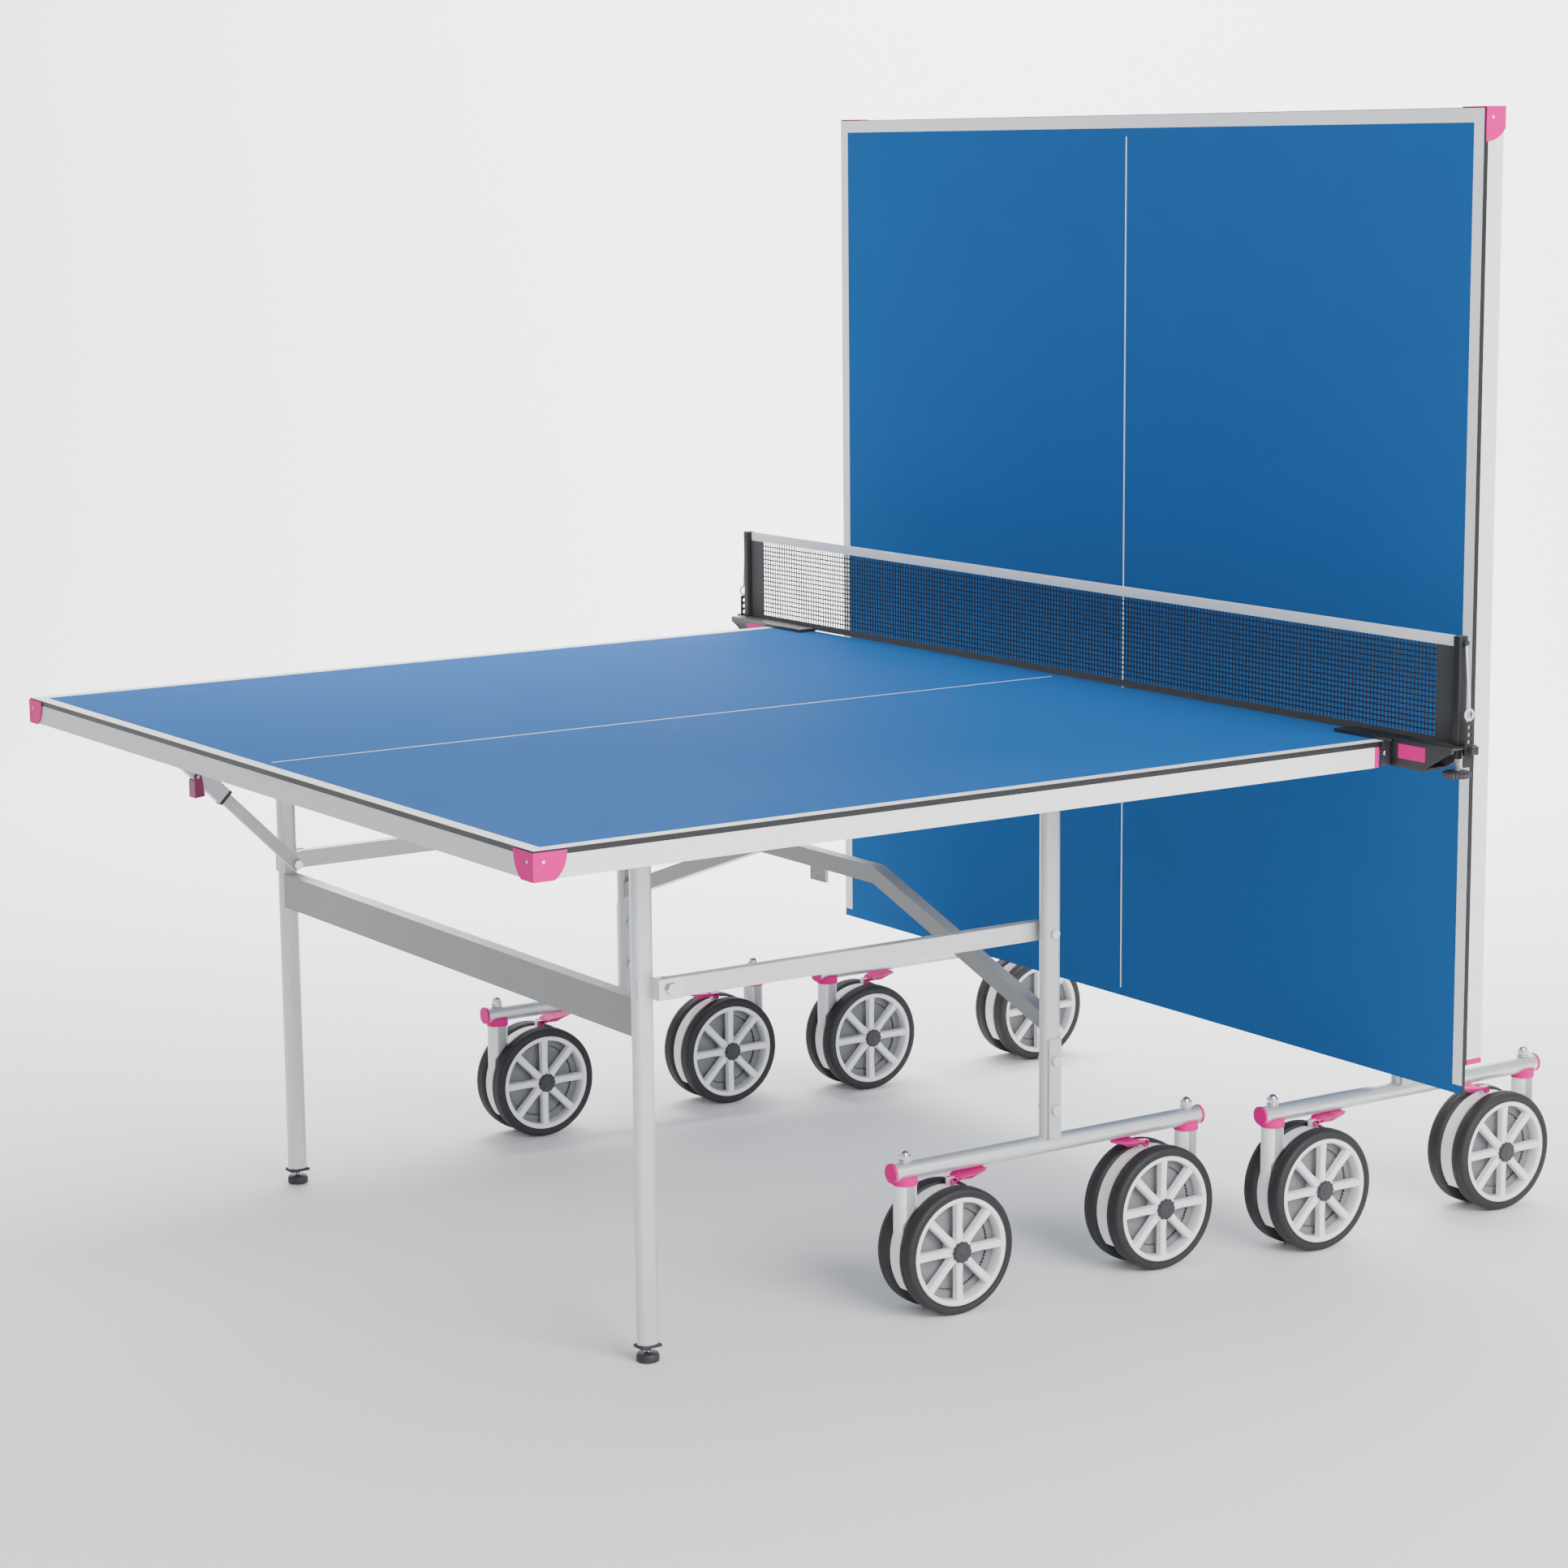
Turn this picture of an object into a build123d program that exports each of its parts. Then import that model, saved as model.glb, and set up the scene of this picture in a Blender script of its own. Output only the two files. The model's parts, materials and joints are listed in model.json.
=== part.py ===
from build123d import *
import os

# Rollaway table tennis table: half A stands open for play, half B is folded upright behind the net.
# The model is built in the table's own frame: X along the table with the net over X = 0, Y across it,
# Z up from the floor. Each half is drawn once as half A; half B is the same unit turned half a turn.
# Before export everything moves along X so that the origin is the middle of the outer box.

# ---- driving dimensions (mm) ----
HALF_LENGTH = 1370.0          # one half of the playing surface, along X
TABLE_WIDTH = 1525.0          # along Y
TABLE_HEIGHT = 760.0          # playing surface above the floor
PANEL = 5.0                   # thickness of the board
APRON_BOTTOM = 724.0          # lower edge of the rails under the board
SHALLOW_BOTTOM = 735.0        # lower edge of the cross rails that pass over the posts
RAIL = 20.0                   # thickness of the apron rails
RAIL_END = -50.0              # where the side rails stop short of the net

POST_X = -427.0               # main posts
POST_Y = 560.0                # half the distance between the posts
STAGGER = 30.0                # sideways offset that lets the two trolleys nest
LEG_Y = 515.0                 # half the distance between the end legs
LINK_Y = 536.5                # half the distance between the link bars
STAY_Y = 486.0                # the folding stay, inside the far leg
TUBE_LONG = 30.0              # flat oval tube of posts and legs, along X
TUBE_SHORT = 20.0             # and along Y
WALL = 2.0

FOLD = (-452.0, 690.0)        # fold pivot of the top (X, Z)
LEG_PIVOT = (-1055.0, 690.0)  # leg hinge under the top
PIVOT_OFFSET = POST_X - FOLD[0]
LINK_HEIGHT = 503.0
LINK_HOLE = 5.0                # over a bolt of radius 4
LINK_AT_POST = (POST_X, LINK_HEIGHT)
LINK_AT_LEG = (LEG_PIVOT[0] + PIVOT_OFFSET, LINK_HEIGHT)
STAY_REACH = 184.0            # leg hinge to either end of the stay
STAY_AT_TOP = (LEG_PIVOT[0] - STAY_REACH, LEG_PIVOT[1])
STAY_AT_LEG = (LEG_PIVOT[0], LEG_PIVOT[1] - STAY_REACH)
PIN = 5.0                     # radius of the pivot pins
HOLE = 5.3                    # radius of the holes they turn in

TEE_HEIGHT = 205.0            # axis of the round T base tubes
TEE_RADIUS = 12.7
TEE_LENGTH = 530.0
KINGPIN = 245.0               # castor kingpin, from the post along X
WHEEL_RADIUS = 89.0
TRAIL = 67.0                  # wheel axle behind the kingpin
AXLE_RADIUS = 6.0

B_SHIFT = -255.0              # half B after its half turn
NET_X = 2.0
NET_TOP = 912.5
NET_POST_Y = 868.0


def slab(x0, x1, y0, y1, z0, z1):
    """Box between two corners."""
    size = (x1 - x0, y1 - y0, z1 - z0)
    return Pos((x0 + x1) / 2, (y0 + y1) / 2, (z0 + z1) / 2) * Box(*size)


def hollow(x0, x1, y0, y1, z0, z1, along):
    """Rectangular tube, open at both ends along the named axis."""
    cut = {axis: (0 if axis == along else WALL) for axis in "xyz"}
    inner = slab(x0 + cut["x"], x1 - cut["x"], y0 + cut["y"], y1 - cut["y"], z0 + cut["z"], z1 - cut["z"])
    return slab(x0, x1, y0, y1, z0, z1) - inner


def pin_y(x, y0, y1, z, radius):
    """Round bar across the table."""
    return Pos(x, (y0 + y1) / 2, z) * Rot(90, 0, 0) * Cylinder(radius, y1 - y0)


def pin_z(x, y, z0, z1, radius):
    """Upright round bar."""
    return Pos(x, y, (z0 + z1) / 2) * Cylinder(radius, z1 - z0)


def hex_y(x, y0, y1, z, flats):
    """Hexagon head or nut across the table."""
    prism = extrude(RegularPolygon(flats / 2, 6, major_radius=False), amount=y1 - y0)
    return Pos(x, y1, z) * Rot(90, 0, 0) * prism


def oval_tube(x, y, z0, z1):
    """Upright flat oval tube of the posts and legs."""
    outer = SlotOverall(TUBE_LONG, TUBE_SHORT)
    inner = SlotOverall(TUBE_LONG - 2 * WALL, TUBE_SHORT - 2 * WALL)
    return Pos(x, y, z0) * extrude(outer - inner, amount=z1 - z0)


def bolt_y(x, z, y_head, y_nut, radius=4.0, flats=13.0):
    """Bolt across the table: hexagon head at y_head, domed nut at y_nut."""
    side = 1 if y_nut > y_head else -1
    low, high = sorted((y_head, y_nut))
    head = sorted((y_head, y_head - side * 5))
    nut = sorted((y_nut, y_nut + side * 6))
    body = pin_y(x, low, high, z, radius) + hex_y(x, head[0], head[1], z, flats)
    dome = Pos(x, nut[1] if side > 0 else nut[0], z) * Sphere(radius + 1)
    return body + hex_y(x, nut[0], nut[1], z, flats) + dome


# ---- one trolley, drawn as half A; side is -1 near, +1 far ----
def y_of(side, distance):
    """Y of something on the undercarriage, which is set STAGGER off the middle."""
    return side * distance + STAGGER


def span(side, inner, outer):
    """Y range from an inner to an outer distance on one side."""
    return sorted((y_of(side, inner), y_of(side, outer)))


def posts():
    """Flat oval posts, saddled over the T tubes, with lugs for the fold pivot."""
    solids = []
    for side in (-1, 1):
        y = y_of(side, POST_Y)
        tube = oval_tube(POST_X, y, TEE_HEIGHT, FOLD[1] + 10)
        tube -= Pos(POST_X, y, TEE_HEIGHT) * Rot(0, 90, 0) * Cylinder(TEE_RADIUS, 60)
        for z in (LINK_HEIGHT, TEE_HEIGHT + 50, TEE_HEIGHT + 120):
            tube -= pin_y(POST_X, y - 15, y + 15, z, 4.2)
        inner, outer = span(side, POST_Y - TUBE_SHORT / 2, POST_Y + TUBE_SHORT / 2)
        face = POST_X - TUBE_LONG / 2
        lug = slab(FOLD[0], face, inner, outer, FOLD[1] - 12, FOLD[1] + 10)
        lug += pin_y(FOLD[0], inner, outer, FOLD[1], 12) & slab(-500, face, inner, outer, 650, FOLD[1] + 10)
        lug -= Pos(POST_X, y, FOLD[1]) * extrude(SlotOverall(TUBE_LONG, TUBE_SHORT), amount=60, both=True)
        solids += [tube, lug - pin_y(FOLD[0], inner - 1, outer + 1, FOLD[1], HOLE)]
    return solids


def tee_bases():
    """Round T base tubes and the strap plates that bolt them to the posts."""
    solids = []
    for side in (-1, 1):
        y = y_of(side, POST_Y)
        tube = Cylinder(TEE_RADIUS, TEE_LENGTH) - Cylinder(TEE_RADIUS - WALL, TEE_LENGTH)
        tube = Pos(POST_X, y, TEE_HEIGHT) * Rot(0, 90, 0) * tube
        for end in (-1, 1):
            tube -= pin_z(POST_X + end * KINGPIN, y, 180, 230, HOLE)
        plate_y = span(side, POST_Y + TUBE_SHORT / 2, POST_Y + TUBE_SHORT / 2 + 4)
        plate = slab(POST_X - 10, POST_X + 10, *plate_y, TEE_HEIGHT + 8, TEE_HEIGHT + 150)
        plate -= Pos(POST_X, y, TEE_HEIGHT) * Rot(0, 90, 0) * Cylinder(TEE_RADIUS, 60)
        for z in (TEE_HEIGHT + 50, TEE_HEIGHT + 120):
            plate -= pin_y(POST_X, plate_y[0] - 1, plate_y[1] + 1, z, 4.2)
        solids += [tube, plate]
    return solids


def base_trim():
    """End caps of the T base tubes and the collars above the castors."""
    solids = []
    for side in (-1, 1):
        y = y_of(side, POST_Y)
        for end in (-1, 1):
            x = POST_X + end * (TEE_LENGTH / 2 + 2)
            solids.append(Pos(x, y, TEE_HEIGHT) * Rot(0, 90, 0) * Cylinder(TEE_RADIUS + 0.8, 4))
            collar = pin_z(POST_X + end * KINGPIN, y, 187, 199, 17.5)
            collar -= Pos(POST_X, y, TEE_HEIGHT) * Rot(0, 90, 0) * Cylinder(TEE_RADIUS, TEE_LENGTH)
            solids.append(collar - pin_z(POST_X + end * KINGPIN, y, 180, 230, HOLE))
    return solids


ARCH_END = 380.0
ARCH_TOP = 519.0
ARCH_HALF = 153.0


def arch_brace():
    """Rectangular tube brace between the posts: two sloping arms and a level middle."""
    half_span = POST_Y - TUBE_SHORT / 2
    tall = 24.0
    deep = 20.0
    rise = ARCH_TOP - ARCH_END
    run = half_span - ARCH_HALF
    slope = (run ** 2 + rise ** 2) ** 0.5
    cut = tall / 2 * slope / run
    solids = []
    middle = slab(POST_X - deep / 2, POST_X + deep / 2, STAGGER - ARCH_HALF, STAGGER + ARCH_HALF,
                  ARCH_TOP - cut, ARCH_TOP + cut)
    solids.append(middle)
    for side in (-1, 1):
        outline = Polyline(
            (side * ARCH_HALF + STAGGER, ARCH_TOP - cut), (side * half_span + STAGGER, ARCH_END - cut),
            (side * half_span + STAGGER, ARCH_END + cut), (side * ARCH_HALF + STAGGER, ARCH_TOP + cut),
            close=True)
        arm = extrude(Plane.YZ * make_face(outline), amount=deep / 2, both=True)
        solids.append(Pos(POST_X, 0, 0) * arm)
    tab = slab(POST_X - 3, POST_X + 3, STAGGER - 20, STAGGER + 20, ARCH_TOP - cut - 22, ARCH_TOP - cut)
    solids.append(tab - Pos(POST_X, STAGGER, ARCH_TOP - cut - 12) * Rot(0, 90, 0) * Cylinder(4, 20))
    return solids


def base_fasteners():
    """Bolts of the strap plates and link bars, and the capped pins of the fold pivot."""
    solids = []
    for side in (-1, 1):
        outer = y_of(side, POST_Y + TUBE_SHORT / 2 + 4)
        inner = y_of(side, POST_Y - TUBE_SHORT / 2)
        for z in (TEE_HEIGHT + 50, TEE_HEIGHT + 120):
            solids.append(bolt_y(POST_X, z, outer, inner))
        link_face = y_of(side, LINK_Y - 8.3)
        post_face = y_of(side, POST_Y + TUBE_SHORT / 2)
        solids.append(bolt_y(LINK_AT_POST[0], LINK_AT_POST[1], post_face, link_face, 4.0, 12.0))
        low, high = span(side, POST_Y - 15, POST_Y + 16)
        pin = pin_y(FOLD[0], low, high, FOLD[1], PIN)
        low, high = span(side, POST_Y + 14.5, POST_Y + 17)
        solids.append(pin + pin_y(FOLD[0], low, high, FOLD[1], 8))
    return solids


def top_panel():
    """Board of one half."""
    return [slab(-HALF_LENGTH, 0, -TABLE_WIDTH / 2, TABLE_WIDTH / 2, TABLE_HEIGHT - PANEL, TABLE_HEIGHT)]


def clevis_plate(side, inner, outer, pivot, radius, top):
    """Hanging pivot plate under the top, with a round lower end and a hole for its pin."""
    low, high = span(side, inner, outer)
    plate = slab(pivot[0] - radius, pivot[0] + radius, low, high, pivot[1], top)
    plate += pin_y(pivot[0], low, high, pivot[1], radius)
    return plate - pin_y(pivot[0], low - 1, high + 1, pivot[1], HOLE)


def top_frame():
    """Apron rails, cross rails, pivot plates and fixed pins under the board."""
    under = TABLE_HEIGHT - PANEL
    edge = TABLE_WIDTH / 2 - 1
    end = -HALF_LENGTH + 1
    solids = [hollow(end, end + RAIL, -edge, edge, APRON_BOTTOM, under, "y")]
    for side in (-1, 1):
        y = sorted((side * edge, side * (edge - RAIL)))
        solids.append(hollow(end + RAIL, RAIL_END, *y, APRON_BOTTOM, under, "x"))
    inside = edge - RAIL
    cross = [(LEG_PIVOT[0], 14, APRON_BOTTOM + 2), (FOLD[0], 12, SHALLOW_BOTTOM), (-70, 12, SHALLOW_BOTTOM)]
    for x, half, bottom in cross:
        solids.append(hollow(x - half, x + half, -inside, inside, bottom, under, "y"))
    stay = y_of(1, STAY_Y)
    solids.append(hollow(end + RAIL, LEG_PIVOT[0] - 14, stay - 16, stay + 16, SHALLOW_BOTTOM, under, "x"))
    for inner, outer in ((STAY_Y - 14.5, STAY_Y - 11), (STAY_Y + 11, STAY_Y + 14.5)):
        solids.append(clevis_plate(1, inner, outer, STAY_AT_TOP, 11, SHALLOW_BOTTOM))
    solids.append(pin_y(STAY_AT_TOP[0], stay - 14.5, stay + 14.5, STAY_AT_TOP[1], 4))
    for side in (-1, 1):
        for inner, outer in ((LEG_Y - 13.7, LEG_Y - 10.5), (LEG_Y + 10.5, LEG_Y + 13.2)):
            solids.append(clevis_plate(side, inner, outer, LEG_PIVOT, 13, APRON_BOTTOM + 2))
        low, high = span(side, LEG_Y - 13.7, LEG_Y + 13.2)
        solids.append(pin_y(LEG_PIVOT[0], low, high, LEG_PIVOT[1], PIN))
        for inner, outer in ((POST_Y - 14, POST_Y - 10.6), (POST_Y + 10.6, POST_Y + 14)):
            solids.append(clevis_plate(side, inner, outer, FOLD, 9.5, SHALLOW_BOTTOM))
    return solids


GUARD_TOP = 47.0
GUARD_BOTTOM = 30.0
GUARD_PROUD = 1.5


def guard_face(plane):
    """One face of a corner guard: tall at the corner, its free edge curved inwards."""
    low = APRON_BOTTOM - 1.5
    high = TABLE_HEIGHT - 2
    edge = ThreePointArc((GUARD_TOP, high), (GUARD_TOP - 3, (low + high) / 2), (GUARD_BOTTOM, low))
    rest = Polyline((GUARD_BOTTOM, low), (0, low), (0, high), (GUARD_TOP, high))
    return extrude(plane * make_face(Wire([edge, *rest.edges()])), amount=GUARD_PROUD)


def corner_guards():
    """Wrap-round guards on the two outer corners and end caps on the side rails."""
    corner = Pos(-HALF_LENGTH - GUARD_PROUD, -TABLE_WIDTH / 2 - GUARD_PROUD, 0)
    side_face = corner * Pos(0, GUARD_PROUD, 0) * guard_face(Plane.XZ)
    end_face = corner * guard_face(Plane.YZ)
    foot = slab(-HALF_LENGTH - GUARD_PROUD, -HALF_LENGTH + GUARD_BOTTOM - 2,
                -TABLE_WIDTH / 2 - GUARD_PROUD, -TABLE_WIDTH / 2 + RAIL, APRON_BOTTOM - 1.5, APRON_BOTTOM)
    guard = side_face + end_face + foot
    rail_outside = -TABLE_WIDTH / 2 + 1
    cap = slab(RAIL_END, RAIL_END + 8, rail_outside, rail_outside + RAIL, APRON_BOTTOM, TABLE_HEIGHT - PANEL)
    return [guard, cap, mirror(guard, about=Plane.XZ), mirror(cap, about=Plane.XZ)]


BEAM_BOTTOM = 437.0
BEAM_TOP = 488.0
LEG_BOTTOM = 21.0


def leg_frame():
    """Two legs with foot plugs and link brackets, the crossbeam and the stay's bolt."""
    solids = []
    inner_face = LEG_Y - TUBE_SHORT / 2
    for side in (-1, 1):
        y = y_of(side, LEG_Y)
        leg = oval_tube(LEG_PIVOT[0], y, LEG_BOTTOM, LEG_PIVOT[1] + 12)
        leg -= pin_y(LEG_PIVOT[0], y - 15, y + 15, LEG_PIVOT[1], HOLE)
        solids.append(leg)
        plug = Pos(LEG_PIVOT[0], y, LEG_BOTTOM - 1) * extrude(SlotOverall(26, 16), amount=22)
        solids.append(plug - pin_z(LEG_PIVOT[0], y, 0, 60, 5.3))
        low, high = span(side, LEG_Y + 10, LEG_Y + 13)
        plate = slab(LEG_PIVOT[0] - 13, LINK_AT_LEG[0], low, high, LINK_HEIGHT - 13, LINK_HEIGHT + 13)
        plate += pin_y(LINK_AT_LEG[0], low, high, LINK_HEIGHT, 13)
        low, high = span(side, LEG_Y + 10, LINK_Y + 11)
        plate += slab(LINK_AT_LEG[0] - 19, LINK_AT_LEG[0] - 16, low, high, LINK_HEIGHT - 14, LINK_HEIGHT + 14)
        low, high = span(side, LINK_Y + 8.5, LINK_Y + 11)
        plate += slab(LINK_AT_LEG[0] - 19, LINK_AT_LEG[0] + 18, low, high, LINK_HEIGHT - 14, LINK_HEIGHT + 14)
        low, high = span(side, LEG_Y + 13, LINK_Y + 8.5)
        bolt = pin_y(LINK_AT_LEG[0], low, high, LINK_HEIGHT, 4)
        solids.append(plate + bolt)
        low, high = span(side, LINK_Y + 11, LINK_Y + 16)
        solids.append(hex_y(LINK_AT_LEG[0], low, high, LINK_HEIGHT, 15))
    half = 11.0
    beam = (LEG_PIVOT[0] - half, LEG_PIVOT[0] + half, STAGGER - inner_face, STAGGER + inner_face)
    solids.append(hollow(*beam, BEAM_BOTTOM, BEAM_TOP, "y"))
    low, high = span(1, STAY_Y - 6.5, inner_face)
    bolt = pin_y(STAY_AT_LEG[0], low, high, STAY_AT_LEG[1], 4)
    low, high = span(1, STAY_Y - 11, STAY_Y - 6.5)
    solids.append(bolt + hex_y(STAY_AT_LEG[0], low, high, STAY_AT_LEG[1], 13))
    return solids


def foot(side):
    """Levelling foot: flat pad with a screwed stem."""
    y = y_of(side, LEG_Y)
    pad = pin_z(LEG_PIVOT[0], y, 0, 12, 15.5)
    pad = fillet(pad.edges().group_by(Axis.Z)[-1], 2.5)
    return [pad + pin_z(LEG_PIVOT[0], y, 12, 38, 5)]


def link_bars():
    """Round-ended bars from the posts to the legs."""
    solids = []
    for side in (-1, 1):
        low, high = span(side, LINK_Y - 8, LINK_Y + 8)
        bar = slab(LINK_AT_LEG[0], LINK_AT_POST[0], low, high, LINK_HEIGHT - 13, LINK_HEIGHT + 13)
        for x in (LINK_AT_LEG[0], LINK_AT_POST[0]):
            bar += pin_y(x, low, high, LINK_HEIGHT, 13)
            bar -= pin_y(x, low - 1, high + 1, LINK_HEIGHT, LINK_HOLE)
        solids.append(bar)
    return solids


# The stay is drawn lying along +X from its pivot at the top and then turned to its slope.
SLEEVE_BACK = 38.0            # how far the sleeve runs on behind its pivot
SLEEVE_LENGTH = 100.0         # from the pivot to the mouth
BAR_LENGTH = 285.0
STAY_SLOPE = 45.0
STAY_LENGTH = STAY_REACH * 2 ** 0.5
TRIGGER_PIVOT = (40.0, 6.0)   # along the sleeve, and out on the side away from the board


def stay_frame():
    """Place of the stay: along its slope from the pivot under the top."""
    return Pos(STAY_AT_TOP[0], y_of(1, STAY_Y), STAY_AT_TOP[1]) * Rot(0, STAY_SLOPE, 0)


def stay_sleeve():
    """Sleeve with an end band round its mouth and a stub pin each side for the trigger."""
    mouth = SLEEVE_LENGTH - 5
    tube = slab(-SLEEVE_BACK, mouth, -8, 8, -12.5, 12.5) - slab(-50, SLEEVE_LENGTH, -4.6, 4.6, -9.8, 9.8)
    tube -= pin_y(0, -10, 10, 0, 4.3)
    along, out = TRIGGER_PIVOT
    for side in (-1, 1):
        low, high = sorted((side * 8, side * 11))
        tube += pin_y(along, low, high, -out, 2.5)
    band = slab(mouth, SLEEVE_LENGTH, -8.3, 8.3, -12.9, 12.9)
    band -= slab(mouth - 1, SLEEVE_LENGTH + 1, -4.6, 4.6, -9.8, 9.8)
    return [stay_frame() * tube, stay_frame() * band]


def stay_bar():
    """Bar that slides in the sleeve; its open slot passes the sleeve's pivot pin."""
    bar = slab(STAY_LENGTH - BAR_LENGTH, STAY_LENGTH, -4.2, 4.2, -9.4, 9.4)
    bar -= slab(STAY_LENGTH - BAR_LENGTH - 1, 10, -5, 5, -4.8, 4.8)
    bar += pin_y(STAY_LENGTH, -4.2, 4.2, 0, 9.4)
    spacer = pin_y(STAY_LENGTH, 4.2, 18.5, 0, 7)
    hole = pin_y(STAY_LENGTH, -10, 20, 0, 4.3)
    return [stay_frame() * (bar + spacer - hole)]


def stay_release():
    """Trigger under the sleeve: a cheek each side on the stub pins and a blade that hangs down."""
    along, out = TRIGGER_PIVOT
    cheek_line = Polyline((34, -out), (46, -3), (68, -20), (58, -33), close=True)
    blade_line = Polyline((39, -13.8), (57, -13.8), (68, -20), (58, -33), close=True)
    trigger = extrude(Plane.XZ * make_face(blade_line), amount=11, both=True)
    for side in (-1, 1):
        low, high = sorted((side * 8.4, side * 11))
        cheek = extrude(Plane.XZ * make_face(cheek_line), amount=11, both=True)
        cheek &= slab(0, 99, low, high, -50, 50)
        trigger += cheek + pin_y(along, low, high, -out, 6)
        trigger -= pin_y(along, low - 1, high + 1, -out, 2.8)
    return [stay_frame() * trigger]


# ---- castors, drawn with the kingpin on the Z axis and the wheels trailing along +X ----
FORK_TOP = 186.6
WEB_RADIUS = 84.0
WEB_HALF = 11.3                # fills the gap between the tyres
PEDAL_PIVOT = (TRAIL + 10, 179.0)
HUB_CAP = 15.5


def castor_fork():
    """Stem, the web between the wheels, the brake's lug and the kingpin with its nut."""
    stem = pin_z(0, 0, 96, FORK_TOP, 16)
    for side in (-1, 1):
        low, high = sorted((side * 11, side * 30))
        stem -= pin_y(TRAIL, low, high, WHEEL_RADIUS, WHEEL_RADIUS + 1.5)
    web = Pos(TRAIL, 0, WHEEL_RADIUS) * Rot(90, 0, 0) * Cylinder(WEB_RADIUS, 2 * WEB_HALF)
    web -= slab(-200, 300, -50, 50, -20, 38)
    body = stem + web
    body -= pin_y(TRAIL, -20, 20, WHEEL_RADIUS, AXLE_RADIUS + 0.3)
    body += slab(PEDAL_PIVOT[0] - 6, PEDAL_PIVOT[0] + 6, -4, 4, 168, PEDAL_PIVOT[1] + 4)
    body -= pin_y(PEDAL_PIVOT[0], -6, 6, PEDAL_PIVOT[1], 2.3)
    kingpin = pin_z(0, 0, FORK_TOP, TEE_HEIGHT + 22, PIN)
    seat = TEE_HEIGHT + TEE_RADIUS + 0.4
    kingpin += pin_z(0, 0, seat, seat + 2, 9)
    kingpin += Pos(0, 0, seat + 2) * extrude(RegularPolygon(8, 6, major_radius=False), amount=7)
    kingpin += Pos(0, 0, seat + 9) * Sphere(6.5)
    kingpin -= pin_z(0, 0, 150, FORK_TOP, 30)
    return [body, kingpin]


def castor_wheels():
    """Twin wheels on one axle: tyre, spoked rim and knurled hub cap each side."""
    solids = [pin_y(TRAIL, -38, 38, WHEEL_RADIUS, AXLE_RADIUS)]
    for side in (-1, 1):
        def ring(inner, outer, y0, y1):
            low, high = sorted((side * y0, side * y1))
            outside = pin_y(TRAIL, low, high, WHEEL_RADIUS, outer)
            return outside - pin_y(TRAIL, low - 1, high + 1, WHEEL_RADIUS, inner)
        tyre = ring(76, WHEEL_RADIUS, 12, 38)
        tyre = fillet(tyre.edges().filter_by(GeomType.CIRCLE).sort_by(SortBy.RADIUS)[-2:], 6)
        rim = ring(69, 76, 13, 37) + ring(AXLE_RADIUS, HUB_CAP + 1, 12, 38)
        low, high = sorted((side * 24, side * 35))
        for turn in range(8):
            spoke = slab(13, 71, low, high, -5, 5)
            rim += Pos(TRAIL, 0, WHEEL_RADIUS) * Rot(0, 45 * turn, 0) * spoke
        rim += ring(44, 70, 13, 16)
        low, high = sorted((side * 38, side * 42))
        cap = pin_y(TRAIL, low, high, WHEEL_RADIUS, HUB_CAP)
        solids += [tyre, rim, cap]
    return solids


def castor_pedal():
    """Foot brake: hinge eyes each side of a lug on the fork and a leaf that thins towards its tip."""
    x, z = PEDAL_PIVOT
    outline = Polyline((x - 3, z + 4), (x + 16, z + 8), (x + 34, z + 9), (x + 58, z + 11), (x + 58, z + 8),
                       (x + 40, z + 3), (x + 30, z - 2), (x + 12, z - 1), (x + 7.5, z + 1), close=True)
    leaf = extrude(Plane.XZ * make_face(outline), amount=20, both=True)
    leaf &= Pos(x + 26, 0, z - 20) * extrude(Ellipse(32, 18), amount=60)
    leaf -= slab(x - 9, x + 7.5, -4.6, 4.6, z - 9, z + 9)
    leaf -= slab(x - 9, x + 2, -30, -8, z - 9, z + 20) + slab(x - 9, x + 2, 8, 30, z - 9, z + 20)
    for y0, y1 in ((-8, -4.6), (4.6, 8)):
        leaf += pin_y(x, y0, y1, z, 4.5)
    return [leaf + pin_y(x, -4.6, 4.6, z, 2)]


# ---- net ----
def net_fabric():
    """Net and the thicker tape along its top."""
    half = NET_POST_Y - 10
    solids = [slab(NET_X - 0.8, NET_X + 0.8, -half, half, TABLE_HEIGHT + 1, NET_TOP - 15)]
    solids.append(slab(NET_X - 1.5, NET_X + 1.5, -half, half, NET_TOP - 15, NET_TOP))
    return solids


CLAMP_FACE = -26.0            # front of the clamp channel
CLAMP_BACK = 20.0
CLAMP_END = 884.0             # outer end of its top plate
TIP_END = 900.0               # the hook that holds the cord strap
SCREW_Y = 866.0
STRAP_Y = 887.0


def net_posts():
    """Net posts with the hooks that hold the tension cords."""
    solids = []
    for side in (-1, 1):
        y = side * NET_POST_Y
        post = slab(NET_X - 8, NET_X + 8, y - 7, y + 7, TABLE_HEIGHT + 5, NET_TOP)
        post = fillet(post.edges().filter_by(Axis.Z), 3)
        low, high = sorted((side * (NET_POST_Y + 7), side * (NET_POST_Y + 13)))
        post += slab(NET_X - 4, NET_X + 4, low, high, NET_TOP - 12, NET_TOP - 6)
        solids.append(post)
    return solids


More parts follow.
